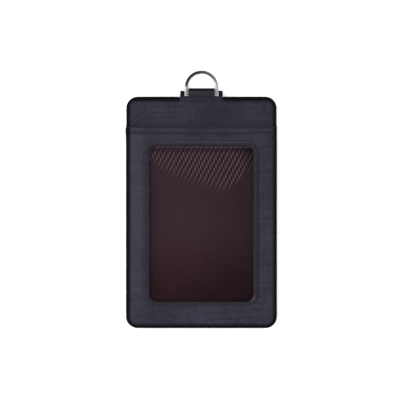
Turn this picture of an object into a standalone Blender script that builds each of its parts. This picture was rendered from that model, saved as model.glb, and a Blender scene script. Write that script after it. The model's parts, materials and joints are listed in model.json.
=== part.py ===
"""An upright card holder in coated fabric, with a clear window and a D-ring.

A laminated back carries a windowed front pocket. A blank card slides in the pocket, and a
folded tab between the back's layers holds the ring. Sizes are in metres. +Z is the front's
normal, +Y runs up towards the ring, and the origin is the centre of the back's outer face.
"""

import math

import bmesh
import bpy

# The card that everything is built round
CARD_WIDTH = 0.0540
CARD_HEIGHT = 0.0856
CARD_THICKNESS = 0.00076
CARD_CORNER_RADIUS = 0.00318
CARD_EDGE_GAP = 0.0003
CARD_FACE_GAP = 0.00015

# The body round the card
SIDE_WELT_WIDTH = 0.00725
BOTTOM_WELT_WIDTH = 0.0055
CARD_DROP = 0.00215  # from the pocket's mouth down to the card
HEADER_HEIGHT = 0.0145
BODY_CORNER_RADIUS = 0.0055
COATING_WIDTH = 0.0009
COATING_ROUNDING = 0.0003
MOUTH_COATING_WIDTH = 0.0004

# Sheets
SKIN_THICKNESS = 0.0008
LINING_THICKNESS = 0.00025
FILM_THICKNESS = 0.00025
GLUE_LINE = 0.00005
SKIN_ROUNDING = 0.0002
MOUTH_ROUNDING = 0.00015

# The window in the front panel
WINDOW_SIDE_MARGIN = 0.0111
WINDOW_TOP_MARGIN = 0.00875
WINDOW_BOTTOM_MARGIN = 0.01245
WINDOW_CORNER_RADIUS = 0.0035
WINDOW_ROUNDING = 0.0004
LINING_SETBACK = 0.0006

# Pressed creases
CREASE_INSET = 0.0021
CREASE_DEPTH = 0.00025
CREASE_RADIUS = 0.0004
CREASE_TURN_RADIUS = 0.0012
WINDOW_BORDER = 0.0026

# The ring
WIRE_DIAMETER = 0.0014
RING_INNER_WIDTH = 0.0130
RING_BEND_RADIUS = 0.0009
RING_LEG_LENGTH = 0.0029  # from the bar's centre line up to the centre of the arc
RING_SEAM = 0.0002
BAR_RISE = 0.0016  # from the body's top edge up to the bar's centre line
TABLE_GAP = 0.00005  # under the ring's arc, where it lies on a table

# The tab that holds the ring
TAB_THICKNESS = 0.0005
TAB_LEG_GAP = 0.0001
TAB_ROOT_DEPTH = 0.0120
TAB_LOBE_WIDTH = 0.0020
TAB_LOBE_RISE = 0.0028
TAB_FLOOR_RISE = 0.0003
TAB_ROUNDING = 0.0001
BAR_GAP = 0.0001
LOOP_SLACK = 0.0011  # how far the fold stands off above the bar
LOOP_SIDE_GAP = 0.00025
LOBE_SIDE_GAP = 0.00015

OVERRUN = 0.0010  # how far each cutter runs past what it cuts
WELD_DISTANCE = 0.000001

# Facet counts
CORNER_STEPS = 8
ARC_STEPS = 26
BEND_STEPS = 5
FOLD_STEPS = 12
WIRE_BEVEL_RESOLUTION = 4
CREASE_BEVEL_RESOLUTION = 2
ROUNDING_SEGMENTS = 2
WINDOW_ROUNDING_SEGMENTS = 3

# Outlines worked out from the sizes above
SHEET_INSET = COATING_WIDTH + GLUE_LINE
BODY_WIDTH = CARD_WIDTH + 2 * (CARD_EDGE_GAP + SIDE_WELT_WIDTH + SHEET_INSET)
POCKET_HEIGHT = CARD_DROP + CARD_HEIGHT + CARD_EDGE_GAP + BOTTOM_WELT_WIDTH + SHEET_INSET
BODY_HEIGHT = HEADER_HEIGHT + POCKET_HEIGHT
BODY_RIGHT = BODY_WIDTH / 2
BODY_TOP = BODY_HEIGHT / 2
MOUTH_Y = BODY_TOP - HEADER_HEIGHT
CARD_TOP = MOUTH_Y - CARD_DROP
CARD_BOTTOM = CARD_TOP - CARD_HEIGHT
SHEET_RIGHT = BODY_RIGHT - SHEET_INSET
SHEET_TOP = BODY_TOP - SHEET_INSET
SHEET_RADIUS = BODY_CORNER_RADIUS - SHEET_INSET
WINDOW_RIGHT = BODY_RIGHT - WINDOW_SIDE_MARGIN
WINDOW_TOP = MOUTH_Y - WINDOW_TOP_MARGIN
WINDOW_BOTTOM = WINDOW_BOTTOM_MARGIN - BODY_TOP
POCKET_SHEET_TOP = MOUTH_Y - MOUTH_COATING_WIDTH - GLUE_LINE

# Levels of the layers, from the table up
BOARD_THICKNESS = 2 * TAB_THICKNESS + TAB_LEG_GAP
BOARD_BASE = SKIN_THICKNESS + GLUE_LINE
HEADER_BASE = BOARD_BASE + BOARD_THICKNESS + GLUE_LINE
HEADER_FACE = HEADER_BASE + SKIN_THICKNESS
WELT_BASE = HEADER_FACE + GLUE_LINE
WELT_THICKNESS = CARD_THICKNESS + 2 * CARD_FACE_GAP
LINING_BASE = WELT_BASE + WELT_THICKNESS + GLUE_LINE
FILM_BASE = LINING_BASE + LINING_THICKNESS + GLUE_LINE
PANEL_BASE = FILM_BASE + FILM_THICKNESS + GLUE_LINE
PANEL_FACE = PANEL_BASE + SKIN_THICKNESS
CARD_BASE = (HEADER_FACE + LINING_BASE - CARD_THICKNESS) / 2

# The ring's bar, and what the tab leaves free for it
WIRE_RADIUS = WIRE_DIAMETER / 2
RING_HALF_WIDTH = RING_INNER_WIDTH / 2 + WIRE_RADIUS
RING_REACH = RING_LEG_LENGTH + RING_HALF_WIDTH
BAR_Y = BODY_TOP + BAR_RISE
BAR_Z = HEADER_FACE / 2
RING_TILT = math.asin((BAR_Z - WIRE_RADIUS - TABLE_GAP) / RING_REACH)
LOOP_RIGHT = RING_INNER_WIDTH / 2 - LOOP_SIDE_GAP
LOBE_LEFT = RING_HALF_WIDTH + WIRE_RADIUS + LOBE_SIDE_GAP
TAB_RIGHT = LOBE_LEFT + TAB_LOBE_WIDTH


def clear_scene():
    for obj in list(bpy.data.objects):
        bpy.data.objects.remove(obj, do_unlink=True)


def new_collection(name):
    collection = bpy.data.collections.new(name)
    bpy.context.scene.collection.children.link(collection)
    return collection


def finish_material(name, colour, roughness, metallic=0.0, alpha=1.0):
    material = bpy.data.materials.new(name)
    material.use_nodes = True
    shader = material.node_tree.nodes["Principled BSDF"]
    shader.inputs["Base Color"].default_value = (*colour, 1.0)
    shader.inputs["Roughness"].default_value = roughness
    shader.inputs["Metallic"].default_value = metallic
    shader.inputs["Alpha"].default_value = alpha
    return material


def arc(centre_x, centre_y, radius, start, end, steps):
    """Points along an arc from one angle to another, in degrees."""
    points = []
    for step in range(steps + 1):
        angle = math.radians(start + (end - start) * step / steps)
        points.append((centre_x + radius * math.cos(angle), centre_y + radius * math.sin(angle)))
    return points


def cup_outline(right, bottom, top, radius):
    """Down the left side, round two bottom corners and up the right side."""
    left_turn = arc(radius - right, bottom + radius, radius, 180, 270, CORNER_STEPS)
    right_turn = arc(right - radius, bottom + radius, radius, 270, 360, CORNER_STEPS)
    return [(-right, top), *left_turn, *right_turn, (right, top)]


def dome_outline(right, bottom, top, radius):
    """Up the right side, round two top corners and down the left side."""
    right_turn = arc(right - radius, top - radius, radius, 0, 90, CORNER_STEPS)
    left_turn = arc(radius - right, top - radius, radius, 90, 180, CORNER_STEPS)
    return [(right, bottom), *right_turn, *left_turn, (-right, bottom)]


def rounded_outline(right, bottom, top, radius, top_radius=None):
    """A closed outline whose bottom and top corners may have unlike radii."""
    cup = cup_outline(right, bottom, top, radius)[1:-1]
    dome = dome_outline(right, bottom, top, top_radius or radius)[1:-1]
    return cup + dome


def poly_curve(name, paths, cyclic=True, flat=False):
    curve = bpy.data.curves.new(name, "CURVE")
    curve.dimensions = "2D" if flat else "3D"
    for path in paths:
        spline = curve.splines.new("POLY")
        spline.points.add(len(path) - 1)
        for point, (x, y) in zip(spline.points, path):
            point.co = (x, y, 0.0, 1.0)
        spline.use_cyclic_u = cyclic
    return curve


def place(name, data, collection, material=None, location=(0.0, 0.0, 0.0)):
    obj = bpy.data.objects.new(name, data)
    obj.location = location
    if material:
        data.materials.append(material)
    collection.objects.link(obj)
    return obj


def as_mesh(obj, collection):
    """Swaps a curve object for a mesh object with its caps welded on."""
    bpy.context.view_layer.update()
    name = obj.name
    graph = bpy.context.evaluated_depsgraph_get()
    mesh = bpy.data.meshes.new_from_object(obj.evaluated_get(graph))
    work = bmesh.new()
    work.from_mesh(mesh)
    bmesh.ops.remove_doubles(work, verts=work.verts, dist=WELD_DISTANCE)
    bmesh.ops.dissolve_limit(work, angle_limit=math.radians(1), verts=work.verts, edges=work.edges)
    work.to_mesh(mesh)
    work.free()
    solid = bpy.data.objects.new(name, mesh)
    solid.matrix_world = obj.matrix_world
    bpy.data.objects.remove(obj, do_unlink=True)
    solid.name = name
    mesh.name = name
    collection.objects.link(solid)
    return solid


def cut_sheet(name, outlines, base, thickness, material, collection):
    """A flat sheet with the first outline, and the other outlines cut out of it."""
    curve = poly_curve(name, outlines, flat=True)
    curve.fill_mode = "BOTH"
    curve.extrude = thickness / 2
    obj = place(name, curve, collection, material, (0.0, 0.0, base + thickness / 2))
    return as_mesh(obj, collection)


def soften_edges(obj, width):
    bevel = obj.modifiers.new("soft_edges", "BEVEL")
    bevel.width = width
    bevel.segments = ROUNDING_SEGMENTS
    bevel.limit_method = "ANGLE"
    bevel.angle_limit = math.radians(50)
    obj.data.shade_smooth()
    obj.data.set_sharp_from_angle(angle=math.radians(35))


def as_cutter(obj):
    obj.hide_render = True
    obj.display_type = "WIRE"
    return obj


def box(name, low, high, collection, material=None):
    mesh = bpy.data.meshes.new(name)
    work = bmesh.new()
    bmesh.ops.create_cube(work, size=1.0)
    sides = [top - bottom for bottom, top in zip(low, high)]
    bmesh.ops.scale(work, vec=sides, verts=work.verts)
    work.to_mesh(mesh)
    work.free()
    centre = [(top + bottom) / 2 for bottom, top in zip(low, high)]
    return place(name, mesh, collection, material, centre)


def cut(obj, cutter):
    boolean = obj.modifiers.new(cutter.name, "BOOLEAN")
    boolean.operation = "DIFFERENCE"
    boolean.solver = "EXACT"
    boolean.object = cutter


def crease_cutter(name, path, face, facing, cyclic, cutters):
    """A rod along a crease, sunk into a face that looks up (facing 1) or down (facing -1)."""
    curve = poly_curve(name, [path], cyclic)
    curve.bevel_depth = CREASE_RADIUS
    curve.bevel_resolution = CREASE_BEVEL_RESOLUTION
    curve.use_fill_caps = not cyclic
    level = face + facing * (CREASE_RADIUS - CREASE_DEPTH)
    return as_cutter(as_mesh(place(name, curve, cutters, None, (0.0, 0.0, level)), cutters))


def make_back_cover(parts, cutters):
    outline = rounded_outline(SHEET_RIGHT, -SHEET_TOP, SHEET_TOP, SHEET_RADIUS)
    skin = finish_material("back_cover_skin", (0.035, 0.036, 0.050), 0.55)
    cover = cut_sheet("back_cover", [outline], 0.0, SKIN_THICKNESS, skin, parts)
    crease_top = BODY_TOP - CREASE_INSET
    crease = rounded_outline(
        BODY_RIGHT - CREASE_INSET, -crease_top, crease_top, BODY_CORNER_RADIUS - CREASE_INSET
    )
    cut(cover, crease_cutter("back_crease", crease, 0.0, -1, True, cutters))
    soften_edges(cover, SKIN_ROUNDING)


def make_back_board(parts):
    """The stiffening board, notched for the tab's root."""
    notch_right = TAB_RIGHT + GLUE_LINE
    notch_floor = BODY_TOP - TAB_ROOT_DEPTH - GLUE_LINE
    cup = cup_outline(SHEET_RIGHT, -SHEET_TOP, SHEET_TOP, SHEET_RADIUS)[1:-1]
    dome = dome_outline(SHEET_RIGHT, -SHEET_TOP, SHEET_TOP, SHEET_RADIUS)[1:-1]
    middle = len(dome) // 2
    notch = [
        (notch_right, SHEET_TOP),
        (notch_right, notch_floor),
        (-notch_right, notch_floor),
        (-notch_right, SHEET_TOP),
    ]
    outline = cup + dome[:middle] + notch + dome[middle:]
    board = finish_material("back_board_card", (0.30, 0.25, 0.19), 0.85)
    cut_sheet("back_board", [outline], BOARD_BASE, BOARD_THICKNESS, board, parts)


def make_header_panel(parts, cutters):
    """The back's front skin: it shows above the pocket and lies behind the card."""
    outline = rounded_outline(SHEET_RIGHT, -SHEET_TOP, SHEET_TOP, SHEET_RADIUS)
    skin = finish_material("header_panel_skin", (0.037, 0.037, 0.051), 0.5)
    panel = cut_sheet("header_panel", [outline], HEADER_BASE, SKIN_THICKNESS, skin, parts)
    crease = dome_outline(
        BODY_RIGHT - CREASE_INSET,
        MOUTH_Y - OVERRUN,
        BODY_TOP - CREASE_INSET,
        BODY_CORNER_RADIUS - CREASE_INSET,
    )
    cut(panel, crease_cutter("header_crease", crease, HEADER_FACE, 1, False, cutters))
    soften_edges(panel, SKIN_ROUNDING)


def make_pocket_welt(parts):
    """The U-shaped filler strip that keeps the pocket's layers apart for the card."""
    outer = cup_outline(SHEET_RIGHT, -SHEET_TOP, MOUTH_Y, SHEET_RADIUS)
    inner = cup_outline(
        CARD_WIDTH / 2 + CARD_EDGE_GAP,
        CARD_BOTTOM - CARD_EDGE_GAP,
        MOUTH_Y,
        CARD_CORNER_RADIUS + CARD_EDGE_GAP,
    )
    welt = finish_material("pocket_welt_board", (0.028, 0.028, 0.038), 0.8)
    cut_sheet("pocket_welt", [outer + inner[::-1]], WELT_BASE, WELT_THICKNESS, welt, parts)


def pocket_outline():
    return cup_outline(SHEET_RIGHT, -SHEET_TOP, POCKET_SHEET_TOP, SHEET_RADIUS)


def window_outline(growth):
    return rounded_outline(
        WINDOW_RIGHT + growth,
        WINDOW_BOTTOM - growth,
        WINDOW_TOP + growth,
        WINDOW_CORNER_RADIUS + growth,
    )


def make_front_lining(parts):
    outlines = [pocket_outline(), window_outline(LINING_SETBACK)]
    lining = finish_material("front_lining_cloth", (0.020, 0.020, 0.028), 0.9)
    cut_sheet("front_lining", outlines, LINING_BASE, LINING_THICKNESS, lining, parts)


def make_window_film(parts):
    film = finish_material("window_film_clear", (0.9, 0.9, 0.92), 0.08, alpha=0.15)
    cut_sheet("window_film", [pocket_outline()], FILM_BASE, FILM_THICKNESS, film, parts)


def round_window_edge(panel):
    """Rolls the front edge of the window over, as a pressed border has it."""
    work = bmesh.new()
    work.from_mesh(panel.data)
    reach = WINDOW_RIGHT + WELD_DISTANCE
    rim = []
    for edge in work.edges:
        low, high = (vert.co for vert in edge.verts)
        on_face = low.z > 0 and high.z > 0
        in_width = max(abs(low.x), abs(high.x)) < reach
        in_height = min(low.y, high.y) > WINDOW_BOTTOM - WELD_DISTANCE
        in_height = in_height and max(low.y, high.y) < WINDOW_TOP + WELD_DISTANCE
        if on_face and in_width and in_height:
            rim.append(edge)
    bmesh.ops.bevel(
        work,
        geom=rim,
        offset=WINDOW_ROUNDING,
        offset_type="OFFSET",
        segments=WINDOW_ROUNDING_SEGMENTS,
        affect="EDGES",
        profile=0.5,
    )
    work.to_mesh(panel.data)
    work.free()


def make_front_panel(parts, cutters):
    """The pocket's face, with its window and the creases pressed round both."""
    skin = finish_material("front_panel_skin", (0.038, 0.038, 0.053), 0.5)
    outlines = [pocket_outline(), window_outline(0.0)]
    panel = cut_sheet("front_panel", outlines, PANEL_BASE, SKIN_THICKNESS, skin, parts)
    round_window_edge(panel)
    rim = rounded_outline(
        BODY_RIGHT - CREASE_INSET,
        CREASE_INSET - BODY_TOP,
        MOUTH_Y - CREASE_INSET,
        BODY_CORNER_RADIUS - CREASE_INSET,
        CREASE_TURN_RADIUS,
    )
    border = window_outline(WINDOW_BORDER)
    cut(panel, crease_cutter("front_rim_crease", rim, PANEL_FACE, 1, True, cutters))
    cut(panel, crease_cutter("window_border_crease", border, PANEL_FACE, 1, True, cutters))
    soften_edges(panel, SKIN_ROUNDING)


def make_edge_coating(parts, cutters):
    """The coating built up round the cut edges, lower above the pocket than beside it."""
    outer = rounded_outline(BODY_RIGHT, -BODY_TOP, BODY_TOP, BODY_CORNER_RADIUS)
    inner_right = BODY_RIGHT - COATING_WIDTH
    inner_top = BODY_TOP - COATING_WIDTH
    inner = rounded_outline(inner_right, -inner_top, inner_top, BODY_CORNER_RADIUS - COATING_WIDTH)
    coat = finish_material("edge_coating_paint", (0.010, 0.010, 0.016), 0.35)
    coating = cut_sheet("edge_coating", [outer, inner], 0.0, PANEL_FACE, coat, parts)
    above_header = box(
        "header_step",
        (-BODY_RIGHT - OVERRUN, MOUTH_Y, HEADER_FACE),
        (BODY_RIGHT + OVERRUN, BODY_TOP + OVERRUN, PANEL_FACE + OVERRUN),
        cutters,
    )
    tab_slot = box(
        "tab_slot",
        (-TAB_RIGHT - GLUE_LINE, inner_top - OVERRUN, SKIN_THICKNESS),
        (TAB_RIGHT + GLUE_LINE, BODY_TOP + OVERRUN, HEADER_BASE),
        cutters,
    )
    cut(coating, as_cutter(above_header))
    cut(coating, as_cutter(tab_slot))
    soften_edges(coating, COATING_ROUNDING)


def make_mouth_coating(parts):
    """The same coating along the pocket's mouth."""
    coat = finish_material("mouth_coating_paint", (0.012, 0.012, 0.018), 0.35)
    strip = box(
        "mouth_coating",
        (-SHEET_RIGHT, MOUTH_Y - MOUTH_COATING_WIDTH, LINING_BASE),
        (SHEET_RIGHT, MOUTH_Y, PANEL_FACE),
        parts,
        coat,
    )
    soften_edges(strip, MOUTH_ROUNDING)


def make_insert_card(parts):
    """The blank card in the pocket. Its origin is on the line that it slides along."""
    half_height = CARD_HEIGHT / 2
    outline = rounded_outline(CARD_WIDTH / 2, -half_height, half_height, CARD_CORNER_RADIUS)
    curve = poly_curve("insert_card", [outline], flat=True)
    curve.fill_mode = "BOTH"
    curve.extrude = CARD_THICKNESS / 2
    card = finish_material("insert_card_maroon", (0.030, 0.016, 0.022), 0.4)
    centre = (0.0, CARD_BOTTOM + half_height, CARD_BASE + CARD_THICKNESS / 2)
    as_mesh(place("insert_card", curve, parts, card, centre), parts)


def ring_path():
    """The wire's centre line, from one side of the seam in the bar round to the other."""
    bend_x = RING_HALF_WIDTH - RING_BEND_RADIUS
    right_bend = arc(bend_x, RING_BEND_RADIUS, RING_BEND_RADIUS, 270, 360, BEND_STEPS)
    top_arc = arc(0.0, RING_LEG_LENGTH, RING_HALF_WIDTH, 0, 180, ARC_STEPS)
    left_bend = arc(-bend_x, RING_BEND_RADIUS, RING_BEND_RADIUS, 180, 270, BEND_STEPS)
    seam = RING_SEAM / 2
    return [(seam, 0.0), *right_bend, *top_arc, *left_bend, (-seam, 0.0)]


def make_d_ring(parts):
    """The ring turns about its bar, so its origin is at the bar's centre."""
    curve = poly_curve("d_ring", [ring_path()], cyclic=False)
    curve.bevel_depth = WIRE_RADIUS
    curve.bevel_resolution = WIRE_BEVEL_RESOLUTION
    curve.use_fill_caps = True
    chrome = finish_material("d_ring_chrome", (0.62, 0.62, 0.64), 0.12, metallic=1.0)
    ring = place("d_ring", curve, parts, chrome, (0.0, BAR_Y, BAR_Z))
    ring.rotation_euler.x = -RING_TILT


def loop_profile(floor, leg_level):
    """The strap's middle line from the front leg over the bar to the back leg, as (y, z)."""
    radius = WIRE_RADIUS + BAR_GAP + TAB_THICKNESS / 2
    reach = math.hypot(floor, leg_level)
    slope = math.degrees(math.asin(radius / reach) - math.atan2(leg_level, -floor))
    front = arc(0.0, 0.0, radius, 90 + slope, 90, BEND_STEPS)
    crown = arc(LOOP_SLACK, 0.0, radius, 90, -90, FOLD_STEPS)
    back = arc(0.0, 0.0, radius, -90, -90 - slope, BEND_STEPS)
    return [(floor, leg_level), *front, *crown, *back, (floor, -leg_level)]


def lobe_profile(floor, leg_level):
    """The flat fold beside the ring's legs, as (y, z)."""
    crown = TAB_LOBE_RISE - BAR_RISE - leg_level - TAB_THICKNESS / 2
    return [(floor, leg_level), *arc(crown, 0.0, leg_level, 90, -90, FOLD_STEPS), (floor, -leg_level)]


def add_strip(work, left, right, profile):
    """A band of faces across the strap, from left to right, along a profile."""
    rows = []
    for y, z in profile:
        rows.append((work.verts.new((left, y, z)), work.verts.new((right, y, z))))
    for (a, b), (c, d) in zip(rows, rows[1:]):
        work.faces.new((a, b, d, c))


def make_ring_tab(parts):
    """One strap folded over the ring's bar, with a notch at each leg of the ring."""
    floor = TAB_FLOOR_RISE - BAR_RISE
    root = -TAB_ROOT_DEPTH - BAR_RISE
    leg_level = (TAB_LEG_GAP + TAB_THICKNESS) / 2
    work = bmesh.new()
    columns = (-TAB_RIGHT, -LOBE_LEFT, -LOOP_RIGHT, LOOP_RIGHT, LOBE_LEFT, TAB_RIGHT)
    for left, right in zip(columns, columns[1:]):
        for level in (leg_level, -leg_level):
            add_strip(work, left, right, [(root, level), (floor, level)])
    add_strip(work, -LOOP_RIGHT, LOOP_RIGHT, loop_profile(floor, leg_level))
    for left, right in ((-TAB_RIGHT, -LOBE_LEFT), (LOBE_LEFT, TAB_RIGHT)):
        add_strip(work, left, right, lobe_profile(floor, leg_level))
    bmesh.ops.remove_doubles(work, verts=work.verts, dist=WELD_DISTANCE)
    bmesh.ops.recalc_face_normals(work, faces=work.faces)
    mesh = bpy.data.meshes.new("ring_tab")
    work.to_mesh(mesh)
    work.free()
    skin = finish_material("ring_tab_skin", (0.030, 0.030, 0.036), 0.5)
    tab = place("ring_tab", mesh, parts, skin, (0.0, BAR_Y, BAR_Z))
    wall = tab.modifiers.new("wall", "SOLIDIFY")
    wall.thickness = TAB_THICKNESS
    wall.offset = 0.0
    wall.use_even_offset = True
    soften_edges(tab, TAB_ROUNDING)


def main():
    clear_scene()
    parts = new_collection("fabric_id_holder")
    cutters = new_collection("cutters")
    make_back_cover(parts, cutters)
    make_back_board(parts)
    make_header_panel(parts, cutters)
    make_pocket_welt(parts)
    make_front_lining(parts)
    make_window_film(parts)
    make_front_panel(parts, cutters)
    make_edge_coating(parts, cutters)
    make_mouth_coating(parts)
    make_insert_card(parts)
    make_d_ring(parts)
    make_ring_tab(parts)


main()
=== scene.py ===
"""Looks for an upright card holder in coated fabric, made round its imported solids.

Every soft sheet is made again as a fine mesh, with its pressed creases, rolled window border,
seam and painted edges, and every finish is a node material. Sizes are in metres, in the part's
own frame: +Z is the front's normal, and +Y runs up the holder towards the ring.
"""

import json
import math

import bmesh
import bpy
from mathutils import Matrix, Vector


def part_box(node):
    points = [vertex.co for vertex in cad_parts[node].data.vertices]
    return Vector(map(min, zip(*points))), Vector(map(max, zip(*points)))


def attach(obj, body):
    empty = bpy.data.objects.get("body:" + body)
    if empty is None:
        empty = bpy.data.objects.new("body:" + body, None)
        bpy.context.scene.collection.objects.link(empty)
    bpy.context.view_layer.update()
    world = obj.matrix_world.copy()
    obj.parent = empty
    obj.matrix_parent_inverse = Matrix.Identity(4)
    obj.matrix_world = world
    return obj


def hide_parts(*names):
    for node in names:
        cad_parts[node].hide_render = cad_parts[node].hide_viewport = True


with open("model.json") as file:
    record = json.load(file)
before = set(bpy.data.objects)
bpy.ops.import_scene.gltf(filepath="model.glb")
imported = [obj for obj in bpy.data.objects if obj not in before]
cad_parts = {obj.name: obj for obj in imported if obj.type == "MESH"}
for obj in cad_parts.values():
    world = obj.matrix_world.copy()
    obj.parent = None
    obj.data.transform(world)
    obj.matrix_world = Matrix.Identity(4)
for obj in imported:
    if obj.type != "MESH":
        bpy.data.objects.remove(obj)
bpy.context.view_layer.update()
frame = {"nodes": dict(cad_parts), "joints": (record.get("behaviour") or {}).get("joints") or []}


def z_range(node):
    """A solid's lowest and highest level."""
    low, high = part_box(node)
    return low.z, high.z


# Places that the solids give
BODY_RIGHT, BODY_TOP, PANEL_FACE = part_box("edge_coating")[1]
SHEET_RIGHT, SHEET_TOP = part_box("back_cover")[1].xy
COVER_FACE, COVER_BASE = z_range("back_cover")
HEADER_FACE = z_range("header_panel")[1]
WELT_BASE, WELT_FACE = z_range("pocket_welt")
LINING_BASE, LINING_FACE = z_range("front_lining")
PANEL_BASE = z_range("front_panel")[0]
PANEL_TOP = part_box("front_panel")[1].y
MOUTH_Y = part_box("mouth_coating")[1].y
MOUTH_COATING_WIDTH = MOUTH_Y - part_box("mouth_coating")[0].y
CARD_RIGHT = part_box("insert_card")[1].x
CARD_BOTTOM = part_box("insert_card")[0].y
TAB_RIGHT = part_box("ring_tab")[1].x
TAB_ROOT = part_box("ring_tab")[0].y
RING_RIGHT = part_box("d_ring")[1].x
BAR = Vector(next(j["pos_m"] for j in frame["joints"] if j["name"] == "ring_swing"))

# The body's outlines, as its source has them
BODY_CORNER_RADIUS = 0.0055
CARD_CORNER_RADIUS = 0.00318
CARD_EDGE_GAP = 0.0003
COATING_WIDTH = 0.0009
WINDOW_SIDE_MARGIN = 0.0111
WINDOW_TOP_MARGIN = 0.00875
WINDOW_BOTTOM_MARGIN = 0.01245
WINDOW_CORNER_RADIUS = 0.0035
LINING_SETBACK = 0.0006
SHEET_RADIUS = BODY_CORNER_RADIUS - BODY_RIGHT + SHEET_RIGHT
SHEET_CORNER_RADIUS = 0.0002  # at the mouth, where the sheets are cut square
WINDOW_RIGHT = BODY_RIGHT - WINDOW_SIDE_MARGIN
WINDOW_TOP = MOUTH_Y - WINDOW_TOP_MARGIN
WINDOW_BOTTOM = WINDOW_BOTTOM_MARGIN - BODY_TOP

# Edges are rounded oblongs, each as its right, its bottom, its top and its corners' radius
BODY_EDGE = (BODY_RIGHT, -BODY_TOP, BODY_TOP, BODY_CORNER_RADIUS)
WINDOW_EDGE = (WINDOW_RIGHT, WINDOW_BOTTOM, WINDOW_TOP, WINDOW_CORNER_RADIUS)

# The pressed relief of the skins
RIM_INSET = 0.0021
RIM_DEPTH = 0.00015
CREASE_REACH = 0.00045
EDGE_ROLL = 0.0004
EDGE_DROP = 0.00028
BORDER_SIDE = 0.0028
BORDER_END = 0.0020
BORDER_DEPTH = 0.00018
BORDER_CREST = 0.00014
BORDER_CREASE_REACH = 0.00063
WINDOW_ROLL = 0.0015
FACE_CROWN = 0.00010
CROWN_REACH = 0.0030
RIPPLE_HEIGHT = 0.000018
RIPPLE_LENGTH = 0.019
MOUTH_HEM = 0.0017
SEAM_DROP = 0.0028  # from the mouth down to the seam
SEAM_DEPTH = 0.00016
SEAM_REACH = 0.0009
HOLE_SHARE = 0.45  # of the seam's depth that only its needle holes have
HOLE_POWER = 6
FILM_BULGE = 0.00012
FILM_RIPPLE = 0.00004
FILM_RIPPLE_LENGTH = 0.0266
FILM_RIPPLE_SHIFT = 0.6
MARGIN_INSET = SHEET_RADIUS * 0.85  # where the even part of the panel's face starts
BORDER_EDGE = (
    WINDOW_RIGHT + BORDER_SIDE,
    WINDOW_BOTTOM - BORDER_END,
    WINDOW_TOP + BORDER_END,
    WINDOW_CORNER_RADIUS + BORDER_END,
)

# The seam's thread
STITCH_PITCH = 0.0034
STITCH_LENGTH = 0.0025
THREAD_RADIUS = 0.00017
THREAD_SINK = 0.00022
THREAD_TURNS = 3.5
THREAD_PLIES = 2
THREAD_LOBE_SHARE = 0.16
THREAD_ARCH_POWER = 0.6

# The painted edges
PAINT_TOP_ROUND = 0.00075
PAINT_FOOT_ROUND = 0.00045
PAINT_RIPPLE_SHARE = 0.04
PAINT_RIPPLE_LENGTH = 0.0068
PAINT_RIPPLE_DRIFT = 0.61
PAINT_SWELL_SHARE = 0.28
PAINT_SWELL_REACH = 0.0070
PAINT_WAIST_SHARE = 0.10
PAINT_WAIST_REACH = 0.0005
MOUTH_FALL = 0.0011
MOUTH_FINE_REACH = 0.00154  # where the paint's stations are closer together
TAB_RECESS = 0.00055
TAB_RECESS_FALL = 0.0005

# The ring and the tab, as the source has them
WIRE_RADIUS = 0.0007
RING_BEND_RADIUS = 0.0009
RING_LEG_LENGTH = 0.0029
RING_SEAM = 0.0002
RING_HALF_WIDTH = RING_RIGHT - WIRE_RADIUS
RING_REACH = RING_LEG_LENGTH + RING_HALF_WIDTH
TABLE_GAP = 0.00005
RING_TILT = math.asin((BAR.z - WIRE_RADIUS - TABLE_GAP) / RING_REACH)
TAB_THICKNESS = 0.0005
TAB_LEG_GAP = 0.0001
TAB_LOBE_WIDTH = 0.0020
TAB_LOBE_RISE = 0.0028
TAB_FLOOR_RISE = 0.0003
TAB_ROUNDING = 0.00014
TAB_ROUNDING_ANGLE = math.radians(50)
BAR_GAP = 0.0001
LOOP_SLACK = 0.0011
LOOP_SIDE_GAP = 0.00025
BAR_RISE = BAR.y - BODY_TOP
LOOP_RIGHT = RING_HALF_WIDTH - WIRE_RADIUS - LOOP_SIDE_GAP
LOBE_LEFT = TAB_RIGHT - TAB_LOBE_WIDTH

# The photograph's frame and the studio
IMAGE_PIXELS = 400
PIXEL_SIZE = 0.0004712
CAMERA_PLACE = (-0.00070, 0.00571, 0.60)
SENSOR_MILLIMETRES = 36
FLOOR_HALF_WIDTH = 12.0
CEILING_EDGES = (0.90, 0.97)
CEILING_GREY = (0.06, 0.06, 0.07, 1.0)
SOFTBOX_EDGES = (0.25, 0.65)
SOFTBOX_WHITE = (1.60, 1.61, 1.64, 1.0)
WALL_WHITE = (0.85, 0.86, 0.88, 1.0)
GLOW_WHITE = (2.6, 2.58, 2.52, 1.0)
GLOW_FROM = (-0.85, 0.15, 0.50)
GLOW_START = 0.84
KEY_PLACE = (-0.85, 0.15, 0.60)
KEY_WIDTH = 0.9
KEY_POWER = 3.0
FLOOR_GLOW = 0.35

# Facet counts
CORNER_STEPS = 9
ALONG_STEPS = 64
ACROSS_STEPS = 122
WINDOW_ROLL_STEPS = 6
EDGE_ROLL_STEPS = 4
MARGIN_ROWS = 16
FIELD_ROWS = 8
BORDER_ROWS = 16
PAINT_ROUND_STEPS = 5
PAINT_WALL_STEPS = 8
THREAD_ROWS = 18
THREAD_SIDES = 12
WIRE_SIDES = 24
ARC_STEPS = 72
BEND_STEPS = 8
FOLD_STEPS = 16
MOUTH_FINE_STEPS = 12
TAB_ROUNDING_STEPS = 3
WELD_DISTANCE = 0.0000005
SHARP_ANGLE = math.radians(42)

ALONG_SHARES = [step / ALONG_STEPS for step in range(1, ALONG_STEPS)]
ACROSS_SHARES = [step / ACROSS_STEPS for step in range(1, ACROSS_STEPS)]


# Plane geometry


def mix(start, end, share):
    return tuple(a + (b - a) * share for a, b in zip(start, end))


def ease(share):
    """0 to 1 with a level start and finish."""
    clipped = min(max(share, 0.0), 1.0)
    return clipped * clipped * (3 - 2 * clipped)


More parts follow.
